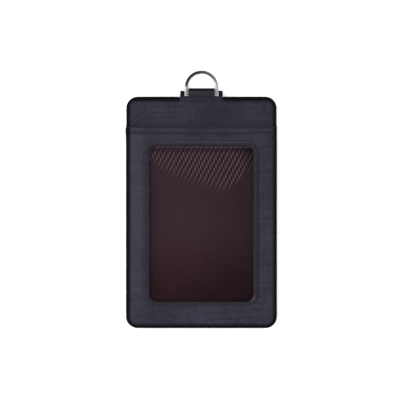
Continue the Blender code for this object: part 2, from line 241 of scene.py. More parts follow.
def arc(centre_x, centre_y, radius, start, end, steps=CORNER_STEPS):
    """Points along an arc from one angle to another, in degrees."""
    points = []
    for step in range(steps + 1):
        angle = math.radians(start + (end - start) * step / steps)
        points.append((centre_x + radius * math.cos(angle), centre_y + radius * math.sin(angle)))
    return points


def oblong(right, bottom, top, radius, top_radius=None, along=ALONG_SHARES, across=ACROSS_SHARES):
    """Once round a rounded oblong, with the same number of points whatever its size."""
    upper = radius if top_radius is None else top_radius
    corners = (
        arc(right - radius, bottom + radius, radius, 270, 360),
        arc(right - upper, top - upper, upper, 0, 90),
        arc(upper - right, top - upper, upper, 90, 180),
        arc(radius - right, bottom + radius, radius, 180, 270),
    )
    downward = [1 - share for share in reversed(along)]
    points = []
    for index, shares in enumerate((along, across, downward, across)):
        following = corners[(index + 1) % len(corners)][0]
        points += corners[index]
        points += [mix(corners[index][-1], following, share) for share in shares]
    return points


def grown(edge, growth):
    """An edge with every side moved out."""
    right, bottom, top, radius = edge
    return (right + growth, bottom - growth, top + growth, radius + growth)


def depth_inside(x, y, edge):
    """How far a point lies inside an edge, and below zero how far outside."""
    right, bottom, top, radius = edge
    beyond_x = abs(x) - right + radius
    beyond_y = abs(y - (top + bottom) / 2) - (top - bottom) / 2 + radius
    outside = math.hypot(max(beyond_x, 0.0), max(beyond_y, 0.0))
    return radius - outside - min(max(beyond_x, beyond_y), 0.0)


def dent(distance, reach):
    """The share of a crease's depth at a distance from its middle."""
    if abs(distance) >= reach:
        return 0.0
    return (1 + math.cos(math.pi * distance / reach)) / 2


def roll_drop(distance, reach):
    """The share by which a quarter-round edge has dropped at a distance from its rim."""
    share = min(max(distance / reach, 0.0), 1.0)
    return 1 - math.sqrt(1 - (1 - share) ** 2)


def sheet_outline(inset, top, top_radius):
    """A sheet's outline, moved in by an inset."""
    radius = max(SHEET_RADIUS - inset, 0.0)
    return oblong(SHEET_RIGHT - inset, inset - SHEET_TOP, top - inset, radius, top_radius)


def window_distance(x, y):
    return -depth_inside(x, y, WINDOW_EDGE)


def body_depth(x, y):
    return depth_inside(x, y, BODY_EDGE)


def wave(x, y, across, up, length=RIPPLE_LENGTH, shift=0.0):
    """A slow wave that runs in the direction (across, up)."""
    return math.sin(math.tau / length * (x * across + y * up) + shift)


def ripple(x, y):
    """A faint slow unevenness, such as a glued skin has."""
    slow = wave(x, y, across=1.0, up=0.45) * wave(x, y, across=-0.3, up=0.8)
    quick = wave(x, y, across=0.7, up=1.9) * wave(x, y, across=1.6, up=-0.5)
    return RIPPLE_HEIGHT * (slow + quick / 2)


# Meshes


def add_object(name, data):
    made = bpy.data.objects.new(name, data)
    bpy.context.scene.collection.objects.link(made)
    return made


def add_mesh(name, work, material):
    """Turns a bmesh into an object with one material."""
    mesh = bpy.data.meshes.new(name)
    work.to_mesh(mesh)
    work.free()
    mesh.materials.append(material)
    return add_object(name, mesh)


def new_piece(name, work, material, node=None, body="holder"):
    """Turns a bmesh into a smooth-shaded piece that rides on a body, in place of a solid."""
    bmesh.ops.remove_doubles(work, verts=work.verts, dist=WELD_DISTANCE)
    bmesh.ops.recalc_face_normals(work, faces=work.faces)
    piece = add_mesh(name, work, material)
    piece.data.shade_smooth()
    piece.data.set_sharp_from_angle(angle=SHARP_ANGLE)
    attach(piece, body)
    if node:
        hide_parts(node)
    return piece


def add_loft(work, rings, closed=False, capped=False):
    """Skins a run of rings that have equal numbers of points."""
    loops = [[work.verts.new(point) for point in ring] for ring in rings]
    pairs = list(zip(loops, loops[1:]))
    if closed:
        pairs.append((loops[-1], loops[0]))
    for near, far in pairs:
        for index in range(len(near)):
            after = (index + 1) % len(near)
            work.faces.new((near[index], near[after], far[after], far[index]))
    if capped:
        work.faces.new(loops[0][::-1])
        work.faces.new(loops[-1])


def add_grid(work, rows):
    grid = [[work.verts.new(point) for point in row] for row in rows]
    for near, far in zip(grid, grid[1:]):
        for index in range(len(near) - 1):
            work.faces.new((near[index], near[index + 1], far[index + 1], far[index]))


def loft_piece(name, rings, material, node, body="holder", closed=False):
    """A piece skinned over a run of rings, in place of a solid."""
    work = bmesh.new()
    add_loft(work, rings, closed=closed, capped=not closed)
    new_piece(name, work, material, node, body)


def at_level(ring, level):
    return [(x, y, level) for x, y in ring]


def raised(ring, level, relief):
    return [(x, y, level + relief(x, y)) for x, y in ring]


def between_rings(start, end, shares):
    return [[mix(a, b, share) for a, b in zip(start, end)] for share in shares]


def even_shares(steps, first=0):
    return [step / steps for step in range(first, steps + 1)]


def roll_shares(steps):
    """Shares of a quarter round's width, closer together where it is steep."""
    return [1 - math.cos(math.pi / 2 * step / steps) for step in range(steps + 1)]


def edge_rows(edge, rolled, inner):
    """Rows from a sheet's edge over its rolled rim and on inwards."""
    rows = between_rings(edge, rolled, roll_shares(EDGE_ROLL_STEPS))
    return rows + between_rings(rolled, inner, even_shares(MARGIN_ROWS, first=1))


def full_sheet(name, node, material, slot, relief, top, top_radius, faces_up=True):
    """A whole sheet whose face has a relief, and whose other side is flat and glued down."""
    low, high = z_range(node)
    base, face = (low, high) if faces_up else (high, low)
    insets = (0.0, EDGE_ROLL, SHEET_RADIUS)
    outlines = [sheet_outline(inset, top, max(top_radius - inset, 0.0)) for inset in insets]
    edge = at_level(outlines[0], base)
    work = bmesh.new()
    add_loft(work, [edge] + [raised(row, face, relief) for row in edge_rows(*outlines)])
    work.faces.new([work.verts.new(point) for point in edge])
    right = SHEET_RIGHT - SHEET_RADIUS
    bottom = SHEET_RADIUS - SHEET_TOP
    height = top - SHEET_RADIUS - bottom
    columns = [right * (2 * share - 1) for share in even_shares(ACROSS_STEPS)]
    lines = [bottom + height * share for share in even_shares(ALONG_STEPS)]
    add_grid(work, [raised([(x, y) for x in columns], face, relief) for y in lines])
    new_piece(name, work, material, node)


# Shader nodes


def sum_of(operation, swapped=False):
    """A method that puts a Signal and another value through a math node."""

    def method(self, other):
        values = (other, self) if swapped else (self, other)
        return self.sheet.math(operation, *values)

    return method


class Signal:
    """A shader value that takes part in Python sums."""

    def __init__(self, sheet, socket):
        self.sheet = sheet
        self.socket = socket

    def __abs__(self):
        return self.sheet.math("ABSOLUTE", self)

    __add__ = __radd__ = sum_of("ADD")
    __mul__ = __rmul__ = sum_of("MULTIPLY")
    __sub__ = sum_of("SUBTRACT")
    __rsub__ = sum_of("SUBTRACT", swapped=True)
    __truediv__ = sum_of("DIVIDE")


class NodeSheet:
    """A node tree that is built up from Signals."""

    def __init__(self, tree, coordinates):
        self.tree = tree
        self.point = self.node("TexCoord", output=coordinates)
        axes = [self.node("SeparateXYZ", None, {0: self.point}, axis) for axis in "XYZ"]
        self.x, self.y, self.z = axes

    def node(self, kind, settings=None, inputs=None, output=0):
        """Adds a node with its settings and its sockets' values or links."""
        made = self.tree.nodes.new("ShaderNode" + kind)
        for field, value in (settings or {}).items():
            setattr(made, field, value)
        for socket, value in (inputs or {}).items():
            if isinstance(value, Signal):
                self.tree.links.new(value.socket, made.inputs[socket])
            else:
                made.inputs[socket].default_value = value
        return Signal(self, made.outputs[output])

    def math(self, operation, *values):
        return self.node("Math", {"operation": operation}, dict(enumerate(values)))

    def greater(self, a, b):
        return self.math("MAXIMUM", a, b)

    def lesser(self, a, b):
        return self.math("MINIMUM", a, b)

    def rise(self, value, low, high):
        """0 below low, 1 above high, and a smooth step between them."""
        inputs = {"Value": value, "From Min": low, "From Max": high}
        return self.node("MapRange", {"interpolation_type": "SMOOTHSTEP"}, inputs)

    def band(self, value, middle, reach):
        """1 at the middle, falling to 0 at a reach either side."""
        return 1 - self.rise(abs(value - middle), 0.0, reach)

    def across(self, start, end):
        """A rise across the window, between two shares of its half width."""
        return self.rise(self.x / WINDOW_RIGHT, start, end)

    def within(self, share, low, high):
        """A value that runs from low to high with a share."""
        return share * (high - low) + low

    def mixed(self, first, second, share):
        """Two signals together, the second with a share."""
        return first * (1 - share) + second * share

    def stretched(self, x=1.0, y=1.0, z=1.0):
        """The point with its coordinates scaled."""
        return self.node("CombineXYZ", None, {0: self.x * x, 1: self.y * y, 2: self.z * z})

    def noise(self, size, vector=None, detail=2.0):
        inputs = {"Vector": vector or self.point, "Scale": 1 / size, "Detail": detail}
        return self.node("TexNoise", None, inputs, "Fac")

    def blend(self, share, start, end):
        """A colour between two colours."""
        inputs = {"Factor": share, 6: start, 7: end}
        return self.node("Mix", {"data_type": "RGBA"}, inputs, 2)

    def scale_colour(self, colour, share):
        inputs = {0: colour if isinstance(colour, Signal) else colour[:3], "Scale": share}
        return self.node("VectorMath", {"operation": "SCALE"}, inputs)

    def depth(self, edge):
        """How far a point of the surface lies inside an edge."""
        right, bottom, top, radius = edge
        beyond_x = abs(self.x) - (right - radius)
        beyond_y = abs(self.y - (top + bottom) / 2) - ((top - bottom) / 2 - radius)
        out_x = self.greater(beyond_x, 0.0)
        out_y = self.greater(beyond_y, 0.0)
        outside = self.math("SQRT", out_x * out_x + out_y * out_y)
        return radius - outside - self.lesser(self.greater(beyond_x, beyond_y), 0.0)

    def body_depth(self):
        return self.depth(BODY_EDGE)

    def beside_tab(self):
        """0 within the tab's width and 1 to its left and right."""
        return self.rise(abs(self.x), TAB_RIGHT - TAB_RECESS_FALL, TAB_RIGHT + TAB_RECESS_FALL)

    def border_depth(self):
        return self.depth(BORDER_EDGE)


class Look(NodeSheet):
    """A material with a Principled shader."""

    def __init__(self, name, **constants):
        self.material = bpy.data.materials.new(name)
        self.material.use_nodes = True
        super().__init__(self.material.node_tree, "Object")
        self.shader = self.tree.nodes["Principled BSDF"]
        for socket, value in constants.items():
            self.shader.inputs[socket.replace("_", " ")].default_value = value

    def use(self, socket, value):
        self.tree.links.new(value.socket, self.shader.inputs[socket])

    def dye(self, share, start, end):
        """Feeds the colour between two colours."""
        self.use("Base Color", self.blend(share, start, end))

    def roughen(self, share, low, high):
        """Feeds a roughness that runs from low to high with a share."""
        self.use("Roughness", self.within(share, low, high))

    def bump(self, height, distance):
        """Feeds the normal from a height that runs from 0 to 1 over a real distance."""
        inputs = {"Height": height, "Distance": distance, "Strength": 1.0}
        self.use("Normal", self.node("Bump", None, inputs))


# Finishes

NAVY = (0.0258, 0.0266, 0.0377, 1.0)
# Dark navy of the grain's grooves and the mouth's paint, also used as painted shade
NAVY_GROOVE = (0.0133, 0.0140, 0.0210, 1.0)
# Colour of painted light on the hem's crest and the pocket's left side
NAVY_HIGHLIGHT = (0.0378, 0.0358, 0.0446, 1.0)
# Colour of painted light: the header above the mouth and the ridge over the window
NAVY_PAINTED_LIGHT = (0.0345, 0.0365, 0.0530, 1.0)
# Darker, browner tone of the window's pressed border
BORDER_GREY = (0.0185, 0.0158, 0.0200, 1.0)
# Colour of the painted glint on the window's lower right corner
GLINT_GREY = (0.0520, 0.0480, 0.0530, 1.0)
EDGE_BLACK = (0.0015, 0.0015, 0.0024, 1.0)
EDGE_GREY = (0.0040, 0.0040, 0.0060, 1.0)
# Paler grey of the painted reflection on the rim's right side
EDGE_REFLECTION_GREY = (0.0300, 0.0290, 0.0340, 1.0)
STRAP_GREY = (0.0230, 0.0230, 0.0275, 1.0)
MAROON = (0.0640, 0.0315, 0.0435, 1.0)
MAROON_DEEP = (0.0850, 0.0274, 0.0400, 1.0)
# Colour of the painted highlight on the card's stripes
STRIPE_PINK = (0.1500, 0.0880, 0.1070, 1.0)
FILM_CLEAR = (0.0015, 0.0014, 0.0015, 1.0)
FILM_HAZY = (0.0040, 0.0038, 0.0042, 1.0)
# Colour of the painted highlight under the window's top edge
FILM_GLEAM = (0.0770, 0.0605, 0.0880, 1.0)
LINING_BLACK = (0.0100, 0.0100, 0.0140, 1.0)
LINING_GREY = (0.0260, 0.0260, 0.0330, 1.0)
BOARD_DARK = (0.20, 0.165, 0.12, 1.0)
BOARD_PALE = (0.36, 0.31, 0.24, 1.0)
CHROME_PALE = (0.34, 0.34, 0.35, 1.0)
# Dark reflection painted on the ring
CHROME_DARK_REFLECTION = (0.040, 0.040, 0.042, 1.0)
CHROME_EDGE = (0.25, 0.25, 0.25, 1.0)
THREAD_DARK = (0.0120, 0.0120, 0.0180, 1.0)
THREAD_PALE = (0.0260, 0.0260, 0.0370, 1.0)
FLOOR_PALE = (0.86, 0.86, 0.87, 1.0)
FLOOR_PALER = (0.88, 0.88, 0.89, 1.0)

# The coated fabric
MATT = {"Specular_IOR_Level": 0.05, "Sheen_Weight": 0.02}
GRAIN_LENGTH = 0.00105
GRAIN_HEIGHT = 0.00056
GRAIN_DEPTH = 0.00005
GRAIN_WOBBLE = 0.00022
GRAIN_WOBBLE_SIZE = 0.0021
STREAK_LENGTH = 0.016
STREAK_HEIGHT = 0.0010
STREAK_SHARE = 0.20
STREAK_RELIEF = 0.2
MOTTLE_SIZE = 0.013
PEBBLE_SIZE = 0.0016
MOTTLE_EDGES = (0.3, 0.7)
MOTTLE_SHARE = 0.24
UNEVEN_MIDDLE = STREAK_SHARE / 2 + MOTTLE_SHARE
MARK_UNEVENNESS = 0.4
FABRIC_ROUGHNESS = 0.58
PAD_POLISH = 0.12
MOTTLE_POLISH = 0.06
MARK_POLISH = 0.08
STRAP_ROUGHNESS = 0.56
STRAP_POLISH = 0.1
LOOP_CUT = (LOOP_RIGHT - TAB_THICKNESS * 0.6, LOOP_RIGHT - TAB_THICKNESS * 0.3)
LOBE_START = (LOBE_LEFT + TAB_THICKNESS * 0.5, LOBE_LEFT + TAB_THICKNESS)
LOBE_END = (TAB_RIGHT - TAB_THICKNESS, TAB_RIGHT - TAB_THICKNESS * 0.5)
# Painted shade on the tab's lobes, with their ink, and over its fold
LOBE_INK_AND_SHADE = 0.8
FOLD_SHADE_FADE = (BAR.y + LOOP_SLACK * 0.5, BAR.y + LOOP_SLACK * 1.5)

# Marks on the skins: the rim's ink, and painted light and shade
MARGIN_WIDTH = 0.0029
TOP_INK_WIDTH = 0.0005
LEFT_INK_WIDTH = 0.0002
# How far the painted light above the pocket's mouth reaches
MOUTH_LIGHT_REACH = 0.0014
CREST_RISE = 0.0015
HEADER_SHADE_REACH = 0.0040
BORDER_FADE = 0.0006
GROOVE_INSET = 0.00072
GROOVE_REACH = 0.00096
# Painted highlight on the hem, and painted light down the pocket's left side
HEM_HIGHLIGHT_REACH = 0.000765
HEM_HIGHLIGHT_SHARE = 0.35
SIDE_LIGHT_START = 0.0048
SIDE_LIGHT_FADE = 0.0120
SIDE_LIGHT_SHARE = 0.75
# Place and size of the painted glint on the window's lower right corner
CORNER_GLINT_REACH = 0.0006
CORNER_GLINT_TURN = math.radians(-32)
CORNER_GLINT_SWEEP = math.radians(38)
# Reach of the painted shade in the seam's trough
SEAM_SHADE_REACH = 0.00135

# Paint, board, lining, film, card, chrome, thread and floor
PAINT_RUN_SIZE = 0.0014
PAINT_RUN_SHARE = 0.5
PAINT_RUN_DEPTH = 0.00006
PAINT_CLOUD_SIZE = 0.009
PAINT_CLOUD_SHARE = 0.4
# Where the painted reflection on the rim's right side lies
REFLECTING_RIM = (BODY_RIGHT - COATING_WIDTH * 0.8, BODY_RIGHT - COATING_WIDTH * 0.3)
WEAVE_PITCH = 0.00042
WEAVE_DEPTH = 0.00007
FLUFF_SIZE = 0.00084
FLUFF_SHARE = 0.4
FLUFF_RELIEF = 0.3
FIBRE_SIZE = 0.0012
FIBRE_DEPTH = 0.00006
FLECK_SIZE = 0.0007
FLECK_SHARE = 0.4
HAZE_SIZE = 0.011
FILM_RUB_SIZE = 0.0009
FILM_RUB_ROUGHNESS = 0.1
FILM_RUB_SHARE = 0.02
GLEAM_DROP = 0.0006
CARD_CLOUD_SIZE = 0.016
CARD_DIMPLE_SIZE = 0.0006
CARD_DIMPLE_DEPTH = 0.000001
CARD_RIGHT_SHADE = 0.38
CARD_LEFT_SHADE = 0.14
CARD_FOOT_SHADE = 0.62
FOOT_RIGHT_SHADE = 0.28
CORNER_SHADE_REACH = 0.0110
STRIPE_PITCH = 0.00203
STRIPE_SLOPE = math.radians(62)
CROSSING_PITCH = 0.00138
CROSSING_SLOPE = math.radians(110)
CROSSING_SHARE = 0.47
HATCH_GAP_SHADE = 0.58
STRIPE_FADE = 0.00546
STRIPE_FADE_LEAN = 0.00252
STRIPE_DROP = 0.0024
STRIPE_TOP_FADE = 0.0012
STRIPE_RIGHT_LOSS = 0.5
STRIPE_SHORTEST = 0.0102
STRIPE_ARCH = 0.0096
STRIPE_LOBE = 0.0054
MARK_SIZE = 0.0022
DRAWN_LINE_SIZE = 0.0003
DRAWN_LINE_DEPTH = 0.000004
FLANK_LEAN = 0.14
FLANK_RISE = 0.45
FLANK_SHARE = 0.92
FLANK_RIGHT_LOSS = 0.35
YARN_SIZE = 0.00016
YARN_DEPTH = 0.00004
FLOOR_GRAIN_SIZE = 0.05


def cross_grain(look):
    """The pressed cross grain of the coating: short pads in brick order, from 0 to 1."""
    wobble = (look.noise(GRAIN_WOBBLE_SIZE) - 0.5) * GRAIN_WOBBLE
    row = (look.y + wobble) / GRAIN_HEIGHT
    shift = look.math("FLOOR", row) / 2
    along = (look.x + wobble * 2) / GRAIN_LENGTH + shift
    pad = abs(look.math("SINE", along * math.pi)) * abs(look.math("SINE", row * math.pi))
    return look.math("SQRT", pad)


def navy_fabric(name, depth_of, *marks):
    """Navy coated fabric, with ink along its rim. Marks are functions that say where a colour
    shows, each with that colour and its share."""
    look = Look(name, **MATT)
    grain = cross_grain(look)
    drawn_out = look.stretched(x=STREAK_HEIGHT / STREAK_LENGTH)
    streaks = look.rise(look.noise(STREAK_HEIGHT, drawn_out), low=0.36, high=0.64)
    mottle = look.rise(look.noise(MOTTLE_SIZE), *MOTTLE_EDGES)
    pebble = look.rise(look.noise(PEBBLE_SIZE, detail=1.0), *MOTTLE_EDGES)
    colour = look.blend(look.within(grain, low=0.25, high=1.0), NAVY_GROOVE, NAVY)
    roughness = FABRIC_ROUGHNESS - grain * PAD_POLISH + (mottle - 0.5) * MOTTLE_POLISH
    uneven = streaks * STREAK_SHARE + (mottle + pebble) * MOTTLE_SHARE - UNEVEN_MIDDLE
    colour = look.scale_colour(colour, uneven + 1)
    for mark_of, tone, share in marks:
        mark = mark_of(look) * share
        patchy = look.scale_colour(tone, uneven * MARK_UNEVENNESS + 1)
        colour = look.blend(mark, colour, patchy)
        roughness = roughness - mark * MARK_POLISH
    inked = 1 - look.rise(depth_of(look), COATING_WIDTH, MARGIN_WIDTH)
    look.dye(inked, colour, EDGE_BLACK)
    look.use("Roughness", roughness)
    look.bump(look.mixed(grain, streaks, STREAK_RELIEF), GRAIN_DEPTH)
    return look.material


def header_rim_depth(look):
    """The header's ink is wider at the top, and stops where the tab's root is."""
    rim = look.lesser(look.body_depth(), BODY_TOP - TOP_INK_WIDTH - look.y)
    return rim + (1 - look.beside_tab()) * MARGIN_WIDTH


def tab_crease_shade(look):
    """Painted shade: the rim's crease shows as a dark line where it crosses the tab's root."""
    return look.band(look.body_depth(), RIM_INSET, CREASE_REACH * 2) * (1 - look.beside_tab())


def mouth_painted_light(look):
    """Painted light on the header just above the mouth, which lifts the shade that the pocket's
    step casts there.
    """
    return look.band(look.y, MOUTH_Y, MOUTH_LIGHT_REACH)


def top_crest(look):
    """A painted highlight: the ridge above the window's border catches the light, most to the
    right.
    """
    ridge = look.band(look.y, WINDOW_TOP + CREST_RISE, BORDER_FADE)
    return ridge * look.across(start=-0.6, end=0.0) * (1 - look.across(start=0.8, end=1.0))


def header_shade(look):
    """The header is a little darker to the right of its middle, least beside the mouth."""
    left_fade = look.rise(look.x / BODY_RIGHT, low=-0.4, high=0.25)
    right_fade = 1 - look.rise(look.x / BODY_RIGHT, low=0.47, high=0.72)
    above = look.rise(look.y, MOUTH_Y, MOUTH_Y + HEADER_SHADE_REACH)
    return left_fade * right_fade * look.within(above, low=0.4, high=1.0)


def panel_rim_depth(look):
    """The pocket's ink is wider at the left, and leaves the mouth out."""
    mouth = MOUTH_Y + MARGIN_WIDTH - look.y
    left = look.x + BODY_RIGHT - LEFT_INK_WIDTH
    return look.lesser(look.lesser(look.body_depth(), left), mouth)


def panel_border(look):
    """1 on the window's pressed border and 0 on the field round it. The border is a darker, browner
    tone, eased at the far left by painted light from the left.
    """
    below_top = WINDOW_TOP + BORDER_END - BORDER_FADE - look.y
    border = look.rise(look.lesser(look.border_depth(), below_top), 0.0, BORDER_FADE)
    # Painted light: the border is painted less dark at its far left, where the light falls
    return border * look.within(look.across(start=-1.0, end=-0.9), low=0.65, high=1.0)


def right_groove(look):
    """The groove round the border is deeper in shade to the right of the window."""
    groove = look.band(look.border_depth(), GROOVE_INSET, GROOVE_REACH)
    return groove * look.rise(look.x, WINDOW_RIGHT, WINDOW_RIGHT + BORDER_FADE)


def panel_painted_light(look):
    """Painted light: a highlight along the left half of the hem's rolled crest at the mouth, and a
    lighter left side of the pocket, where the light falls from the left.
    """
    hem = look.band(MOUTH_Y - look.y, MOUTH_HEM, HEM_HIGHLIGHT_REACH)
    hem = hem * (1 - look.across(start=-0.5, end=0.0))
    side = 1 - look.rise(look.x + BODY_RIGHT, SIDE_LIGHT_START, SIDE_LIGHT_FADE)
    up = look.rise(look.y + BODY_TOP, SIDE_LIGHT_FADE, SIDE_LIGHT_FADE * 2)
    side = side * look.within(up, low=0.4, high=1.0)
    field = 1 - look.rise(look.border_depth(), -BORDER_FADE, 0.0)
    return look.greater(hem * HEM_HIGHLIGHT_SHARE, side * field * SIDE_LIGHT_SHARE)


def corner_glint(look):
    """A painted glint on the rolled edge of the window's lower right corner."""
    across = look.x - (WINDOW_RIGHT - WINDOW_CORNER_RADIUS)
    up = look.y - (WINDOW_BOTTOM + WINDOW_CORNER_RADIUS)
    radius = look.math("SQRT", across * across + up * up)
    turn = look.math("ARCTAN2", up, across)
    on_roll = look.band(radius, WINDOW_CORNER_RADIUS + CORNER_GLINT_REACH, CORNER_GLINT_REACH)
    return on_roll * look.band(turn, CORNER_GLINT_TURN, CORNER_GLINT_SWEEP)


def seam_trough_shade(look):
    """Painted shade in the trough that the seam pulls into the hem."""
    return look.band(MOUTH_Y - look.y, SEAM_DROP, SEAM_SHADE_REACH)


def edge_paint(name, dark, pale):
    """Edge coating that is brushed on, with faint runs. It is thin over the tab's root, and a paler
    grey along the right side, where a reflection is painted into its colour."""
    look = Look(name, Specular_IOR_Level=0.03)
    runs = look.noise(PAINT_RUN_SIZE, look.stretched(z=4.0))
    cloud = look.noise(PAINT_CLOUD_SIZE)
    colour = look.blend(runs * PAINT_RUN_SHARE + cloud * PAINT_CLOUD_SHARE, dark, pale)
    # Painted reflection along the outer right side of the rim
    reflected = look.rise(look.x, *REFLECTING_RIM) * look.within(cloud, low=0.6, high=1.1)
    colour = look.blend(reflected, colour, EDGE_REFLECTION_GREY)
    at_root = look.rise(look.y, BODY_TOP - MARGIN_WIDTH, BODY_TOP - COATING_WIDTH)
    thin = (1 - look.beside_tab()) * at_root
    look.dye(thin, colour, NAVY)
    look.roughen(cloud, low=0.34, high=0.56)
    look.bump(runs, PAINT_RUN_DEPTH)
    return look.material


def strap_fabric():
    """The tab's skin, with paint on its cut sides, painted shade over its fold's crest, and dark
    lobes that are part edge ink and part painted shade.
    """
    look = Look("strap_fabric", **MATT)
    grain = cross_grain(look)
    side = abs(look.x)
    outside_body = look.rise(look.y, BODY_TOP, BODY_TOP + TAB_FLOOR_RISE)
    loop_side = look.rise(side, *LOOP_CUT) * (1 - look.rise(side, *LOBE_START))
    painted = look.greater(loop_side, look.rise(side, *LOBE_END)) * outside_body
    lobes = look.rise(side, LOOP_RIGHT, LOBE_LEFT) * outside_body
    # Painted shade over the fold's crest, and on the lobes together with their edge ink
    inked = look.greater(look.rise(look.y, *FOLD_SHADE_FADE), lobes * LOBE_INK_AND_SHADE)
    colour = look.blend(look.within(grain, low=0.3, high=1.0), NAVY_GROOVE, STRAP_GREY)
    colour = look.blend(inked, colour, EDGE_BLACK)
    look.dye(painted, colour, EDGE_BLACK)
    look.use("Roughness", STRAP_ROUGHNESS - (grain + painted) * STRAP_POLISH)
    look.bump(grain * (1 - painted), GRAIN_DEPTH)
    return look.material


def lining_weave():
    """A thin woven cloth: threads that pass over and under each other."""
    look = Look("lining_weave", Specular_IOR_Level=0.2, Sheen_Weight=0.2)
    across = look.math("SINE", look.x * (math.pi / WEAVE_PITCH))
    down = look.math("SINE", look.y * (math.pi / WEAVE_PITCH))
    over = (across * down + 1) / 2
    fluff = look.noise(FLUFF_SIZE, detail=4.0)
    shade = look.mixed(over, fluff, FLUFF_SHARE)
    look.dye(shade, LINING_BLACK, LINING_GREY)
    look.roughen(fluff, low=0.78, high=0.93)
    look.bump(look.mixed(over, fluff, FLUFF_RELIEF), WEAVE_DEPTH)
    return look.material


def board_fibre():
    look = Look("board_fibre", Specular_IOR_Level=0.2)
    fibre = look.noise(FIBRE_SIZE, look.stretched(x=0.2, z=3.0), detail=5.0)
    fleck = look.rise(look.noise(FLECK_SIZE), low=0.62, high=0.7)
    colour = look.blend(fibre, BOARD_DARK, BOARD_PALE)
    look.dye(fleck * FLECK_SHARE, colour, BOARD_DARK)
    look.roughen(fibre, low=0.8, high=0.95)
    look.bump(fibre, FIBRE_DEPTH)
    return look.material


def clear_film():
    """Clear flexible film. Little of it shows: a faint haze, rubs, and a painted highlight under
    the window's top edge. The gloss is the card's coat, as gloss on a film this clear renders as
    specks."""
    look = Look("clear_film", Specular_IOR_Level=0.0, Sheen_Weight=0.15)
    haze = look.noise(HAZE_SIZE)
    rub = look.rise(look.noise(FILM_RUB_SIZE, detail=4.0), low=0.6, high=0.8)
    # Painted highlight: a gleam under the window's top edge
    gleam = look.band(look.y, WINDOW_TOP - GLEAM_DROP, GLEAM_DROP)
    colour = look.blend(haze, FILM_CLEAR, FILM_HAZY)
    look.dye(gleam, colour, FILM_GLEAM)
    look.use("Roughness", look.within(haze, low=0.05, high=0.10) + rub * FILM_RUB_ROUGHNESS)
    look.use("Alpha", look.within(haze, low=0.18, high=0.22) + rub * FILM_RUB_SHARE)
    return look.material


def stripe_reach(look):
    """How far down from the window's top the card's stripes run: an arch, longer on the right."""
    across = look.x / WINDOW_RIGHT
    arch = 1 - across * across
    lobe = look.band(across, middle=0.48, reach=0.56)
    return STRIPE_SHORTEST + arch * STRIPE_ARCH + lobe * STRIPE_LOBE


def stripe_wave(look, slope, pitch):
    """1 on the middle of each stripe of a hatch, and 0 midway between stripes."""
    across = look.x * math.sin(slope) - look.y * math.cos(slope)
    return (look.math("COSINE", across * (math.tau / pitch)) + 1) / 2


def card_light(look, foot):
    """Painted light and shade on the card: it falls off to both sides, and more to its foot."""
    right = look.across(start=-0.2, end=1.1) * CARD_RIGHT_SHADE
    left = (1 - look.across(start=-1.1, end=-0.5)) * CARD_LEFT_SHADE
    foot_right = look.across(start=-0.6, end=0.15) * foot * FOOT_RIGHT_SHADE
    return (1 - right - left) * (1 - foot * CARD_FOOT_SHADE) * (1 - foot_right)


def card_hatch(look, plain):
    """The card's colour with its own crossed stripes, shown as a painted highlight in an arch down
    from the window's top, weaker to the right, and kept faint at the very top by painted shade.
    """
    stripes = stripe_wave(look, STRIPE_SLOPE, STRIPE_PITCH)
    crossing = stripe_wave(look, CROSSING_SLOPE, CROSSING_PITCH)
    hatch = look.rise(look.mixed(stripes, crossing, CROSSING_SHARE), low=0.24, high=0.88)
    end = WINDOW_TOP - stripe_reach(look)
    fade = STRIPE_FADE - look.x / WINDOW_RIGHT * STRIPE_FADE_LEAN
    shown = look.rise(look.y, end, end + fade)
    top = look.rise(WINDOW_TOP - STRIPE_DROP - look.y, 0.0, STRIPE_TOP_FADE)
    right = look.across(start=0.72, end=1.0) * STRIPE_RIGHT_LOSS
    strength = look.within(top, low=0.45, high=1.0) * (1 - right)
    gap = look.scale_colour(plain, 1 - shown * HATCH_GAP_SHADE)
    return look.blend(hatch * shown * strength, gap, STRIPE_PINK)


def maroon_card():
    """A blank card in satin plastic under a thin clear coat, with painted shade to its sides, its
    foot and the window's corner.
    """
    look = Look("maroon_card", Specular_IOR_Level=0.06, Coat_Weight=0.45, Coat_Roughness=0.12)
    cloud = look.noise(CARD_CLOUD_SIZE)
    foot = look.rise(look.y / WINDOW_BOTTOM, low=0.1, high=1.1)
    light = card_light(look, foot) * look.within(cloud, low=0.96, high=1.04)
    plain = look.scale_colour(look.blend(foot, MAROON, MAROON_DEEP), light)
    beyond_x = look.x - WINDOW_RIGHT
    beyond_y = look.y - WINDOW_TOP
    to_corner = look.math("SQRT", beyond_x * beyond_x + beyond_y * beyond_y)
    lit = look.within(look.rise(to_corner, 0.0, CORNER_SHADE_REACH), low=0.5, high=1.0)
    look.use("Base Color", look.scale_colour(card_hatch(look, plain), lit))
    look.roughen(cloud, low=0.38, high=0.48)
    look.bump(look.noise(CARD_DIMPLE_SIZE), CARD_DIMPLE_DEPTH)
    return look.material


def chrome_wire():
    """Bright plating, with painted dark reflections round the arc from the left, and drawn lines
    and handling marks.
    """
    look = Look("chrome_wire", Metallic=1.0, Specular_Tint=CHROME_EDGE)
    marks = look.noise(MARK_SIZE, detail=4.0)
    climb = (look.y - BAR.y - RING_LEG_LENGTH) / RING_HALF_WIDTH
    side = look.x / RING_HALF_WIDTH
    # Painted dark reflection over the arc's flank, from the left
    flank = look.rise(climb - side * FLANK_LEAN, 0.0, FLANK_RISE)
    dark = flank * (FLANK_SHARE - side * FLANK_RIGHT_LOSS) * look.within(marks, low=0.85, high=1.15)
    look.dye(dark, CHROME_PALE, CHROME_DARK_REFLECTION)
    look.roughen(marks, low=0.07, high=0.19)
    look.bump(look.noise(DRAWN_LINE_SIZE), DRAWN_LINE_DEPTH)
    return look.material


